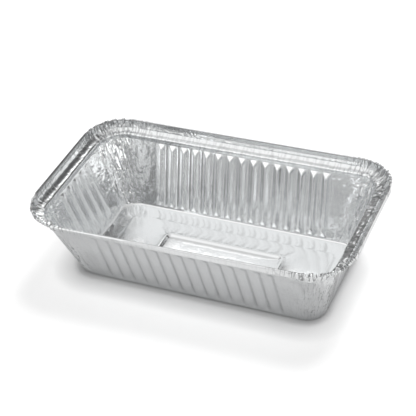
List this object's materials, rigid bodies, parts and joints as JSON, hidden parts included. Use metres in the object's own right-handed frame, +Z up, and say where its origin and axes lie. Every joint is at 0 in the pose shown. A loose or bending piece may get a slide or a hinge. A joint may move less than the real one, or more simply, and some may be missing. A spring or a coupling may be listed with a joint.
{
  "type": "foil food container",
  "caption": "Oblong pressed foil food tray with fluted sloping walls, a stepped lid ledge, gathered corners and a flange with hemmed straight edges.",
  "frame": {"origin": "centre of the bounding box in plan, on the plane of the flat band that the tray stands on", "axes": "+X along the tray towards the end whose wall is pushed in, +Y across it towards the straighter long side, +Z up"},
  "size_m": [0.203, 0.116, 0.0538],
  "materials": {
    "foil": "satin rolled foil"
  },
  "bodies": {
    "root": {"container": "foil"}
  },
  "joints": []
}
